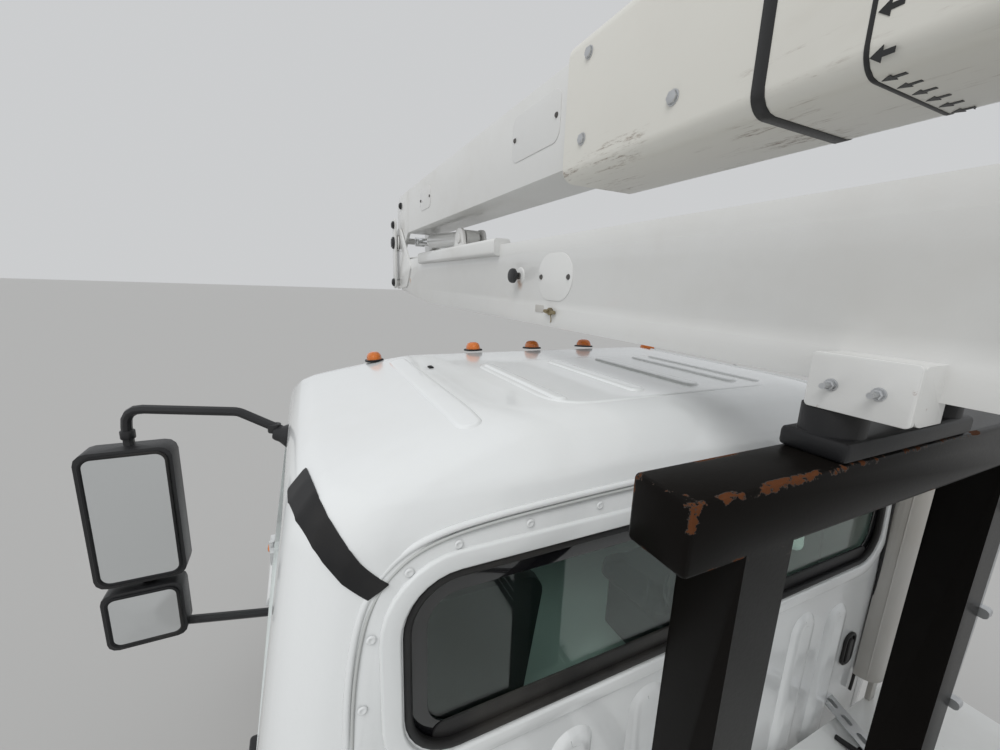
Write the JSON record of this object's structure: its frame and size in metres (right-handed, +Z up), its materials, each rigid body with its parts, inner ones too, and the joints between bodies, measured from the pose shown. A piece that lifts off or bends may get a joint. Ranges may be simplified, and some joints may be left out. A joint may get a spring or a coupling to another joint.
{
  "type": "cherry picker truck",
  "caption": "Bucket truck: conventional cab, flat service body, rear turret with a folding two-part boom resting over the cab, side bucket at its tip",
  "frame": {"origin": "centre of the whole vehicle's bounding box, at ground level", "axes": "-Y is forward, +X is the driver's (left) side, +Z is up"},
  "size_m": [3.14, 7.95, 3.545],
  "materials": {
    "white": "gloss white paint",
    "body_white": "satin white paint",
    "gelcoat": "cream gelcoat over glass fibre",
    "black_steel": "black paint",
    "chassis_black": "satin black chassis paint",
    "tyre": "black tyre rubber",
    "rubber": "black rubber",
    "plastic": "black moulded plastic",
    "glass": "tinted safety glass",
    "chrome_rod": "chromed rod",
    "aluminium": "bare aluminium",
    "steel": "plated steel",
    "cloth": "dark grey woven cloth",
    "iron": "cast iron"
  },
  "bodies": {
    "chassis": {"ladder_frame": "chassis_black", "front_bumper": "white", "front_axle": "chassis_black", "rear_axle": "chassis_black", "engine": "iron", "battery_box": "black_steel", "fuel_tank": "aluminium", "cab_shell": "white", "windscreen": "glass", "rear_window": "glass", "dashboard": "plastic", "seat_left": "cloth", "seat_right": "cloth", "service_body": "body_white", "boom_rest": "black_steel", "rest_pad": "rubber", "pedestal": "white", "exhaust_stack": "aluminium"},
    "hood": {"hood": "white", "grille": "plastic", "headlamp_left": "glass", "headlamp_right": "glass"},
    "door_left": {"cab_door_left": "white", "door_glass_left": "glass", "mirror_left": "plastic"},
    "toolbox_door_left": {"toolbox_door_left": "white"},
    "knuckle_left": {"steering_knuckle_left": "chassis_black"},
    "front_wheel_left": {"front_tyre_left": "tyre", "front_rim_left": "aluminium"},
    "rear_wheel_left": {"rear_outer_tyre_left": "tyre", "rear_inner_tyre_left": "tyre", "rear_rim_left": "aluminium"},
    "door_right": {"cab_door_right": "white", "door_glass_right": "glass", "mirror_right": "plastic"},
    "toolbox_door_right": {"toolbox_door_right": "white"},
    "knuckle_right": {"steering_knuckle_right": "chassis_black"},
    "front_wheel_right": {"front_tyre_right": "tyre", "front_rim_right": "aluminium"},
    "rear_wheel_right": {"rear_outer_tyre_right": "tyre", "rear_inner_tyre_right": "tyre", "rear_rim_right": "aluminium"},
    "turret": {"turret": "white"},
    "lower_boom": {"lower_boom": "white"},
    "upper_boom": {"upper_boom_steel": "white", "upper_boom_fibreglass": "gelcoat", "boom_tip": "white"},
    "levelling_sprocket": {"levelling_sprocket": "steel"},
    "bucket": {"bucket": "white", "bucket_bracket": "white"},
    "lower_cylinder_barrel": {"lower_cylinder_barrel": "white"},
    "lower_cylinder_rod": {"lower_cylinder_rod": "chrome_rod"},
    "elbow_cylinder_barrel": {"elbow_cylinder_barrel": "white"},
    "elbow_cylinder_rod": {"elbow_cylinder_rod": "chrome_rod"},
    "elbow_link": {"elbow_link": "white"}
  },
  "joints": [
    {"name": "hood_tilt", "type": "hinge", "parent": "chassis", "child": "hood", "pos_m": [0, -3.29, 0.745], "axis": [1, 0, 0], "range_deg": [0, 65]},
    {"name": "cab_door_left_swing", "type": "hinge", "parent": "chassis", "child": "door_left", "pos_m": [1.095, -2.07, 1.64], "axis": [0, 0, -1], "range_deg": [0, 68]},
    {"name": "toolbox_door_left_swing", "type": "hinge", "parent": "chassis", "child": "toolbox_door_left", "pos_m": [1.188, 0.19, 1], "axis": [0, 0, -1], "range_deg": [0, 110]},
    {"name": "steering_left", "type": "hinge", "parent": "chassis", "child": "knuckle_left", "pos_m": [0.8, -2.42, 0.505], "axis": [0, 0, 1], "range_deg": [-32, 32]},
    {"name": "front_wheel_left_spin", "type": "hinge", "parent": "knuckle_left", "child": "front_wheel_left", "pos_m": [1.01, -2.42, 0.505], "axis": [1, 0, 0], "continuous": true},
    {"name": "rear_wheel_left_spin", "type": "hinge", "parent": "chassis", "child": "rear_wheel_left", "pos_m": [1.02, 2.31, 0.505], "axis": [1, 0, 0], "continuous": true},
    {"name": "cab_door_right_swing", "type": "hinge", "parent": "chassis", "child": "door_right", "pos_m": [-1.095, -2.07, 1.64], "axis": [0, 0, 1], "range_deg": [0, 68]},
    {"name": "toolbox_door_right_swing", "type": "hinge", "parent": "chassis", "child": "toolbox_door_right", "pos_m": [-1.188, 0.19, 1], "axis": [0, 0, 1], "range_deg": [0, 110]},
    {"name": "steering_right", "type": "hinge", "parent": "chassis", "child": "knuckle_right", "pos_m": [-0.8, -2.42, 0.505], "axis": [0, 0, 1], "range_deg": [-32, 32]},
    {"name": "front_wheel_right_spin", "type": "hinge", "parent": "knuckle_right", "child": "front_wheel_right", "pos_m": [-1.01, -2.42, 0.505], "axis": [1, 0, 0], "continuous": true},
    {"name": "rear_wheel_right_spin", "type": "hinge", "parent": "chassis", "child": "rear_wheel_right", "pos_m": [-1.02, 2.31, 0.505], "axis": [1, 0, 0], "continuous": true},
    {"name": "turret_slew", "type": "hinge", "parent": "chassis", "child": "turret", "pos_m": [0, 2.55, 1.8], "axis": [0, 0, 1], "continuous": true},
    {"name": "lower_boom_raise", "type": "hinge", "parent": "turret", "child": "lower_boom", "pos_m": [0, 2.75, 2.88], "axis": [-1, 0, 0], "range_deg": [0, 75]},
    {"name": "upper_boom_unfold", "type": "hinge", "parent": "lower_boom", "child": "upper_boom", "pos_m": [0, -3.835, 3.15], "axis": [1, 0, 0], "range_deg": [0, 150]},
    {"name": "bucket_level_lower", "type": "hinge", "parent": "upper_boom", "child": "levelling_sprocket", "pos_m": [0, 3.33, 3.34], "axis": [1, 0, 0], "range_deg": [0, 75]},
    {"name": "bucket_level_upper", "type": "hinge", "parent": "levelling_sprocket", "child": "bucket", "pos_m": [0, 3.33, 3.34], "axis": [-1, 0, 0], "range_deg": [0, 150]},
    {"name": "lower_barrel_swing", "type": "hinge", "parent": "turret", "child": "lower_cylinder_barrel", "pos_m": [0, 2.45, 2.08], "axis": [-1, 0, 0], "range_deg": [0, 55.66]},
    {"name": "lower_rod_slide", "type": "slide", "parent": "lower_cylinder_barrel", "child": "lower_cylinder_rod", "axis": [0, -0.9041, 0.4274], "range_m": [0, 0.891]},
    {"name": "elbow_barrel_swing", "type": "hinge", "parent": "lower_boom", "child": "elbow_cylinder_barrel", "pos_m": [0, -2.55, 3.095], "axis": [-1, 0, 0], "range_deg": [0, 1.37]},
    {"name": "elbow_rod_slide", "type": "slide", "parent": "elbow_cylinder_barrel", "child": "elbow_cylinder_rod", "axis": [0, -0.9984, 0.0562], "range_m": [0, 0.251]},
    {"name": "elbow_link_swing", "type": "hinge", "parent": "lower_boom", "child": "elbow_link", "pos_m": [0, -3.835, 2.83], "axis": [1, 0, 0], "range_deg": [0, 36]}
  ],
  "couplings": [
    {"joint": "steering_right", "follows": "steering_left", "ratio": 1},
    {"joint": "bucket_level_lower", "follows": "lower_boom_raise", "ratio": 1},
    {"joint": "bucket_level_upper", "follows": "upper_boom_unfold", "ratio": 1},
    {"joint": "lower_barrel_swing", "follows": "lower_boom_raise", "ratio": 0.74143},
    {"joint": "lower_rod_slide", "follows": "lower_boom_raise", "m_per_rad": 0.67958},
    {"joint": "elbow_barrel_swing", "follows": "upper_boom_unfold", "ratio": 0.008785},
    {"joint": "elbow_rod_slide", "follows": "upper_boom_unfold", "m_per_rad": 0.095557},
    {"joint": "elbow_link_swing", "follows": "upper_boom_unfold", "ratio": 0.24}
  ]
}
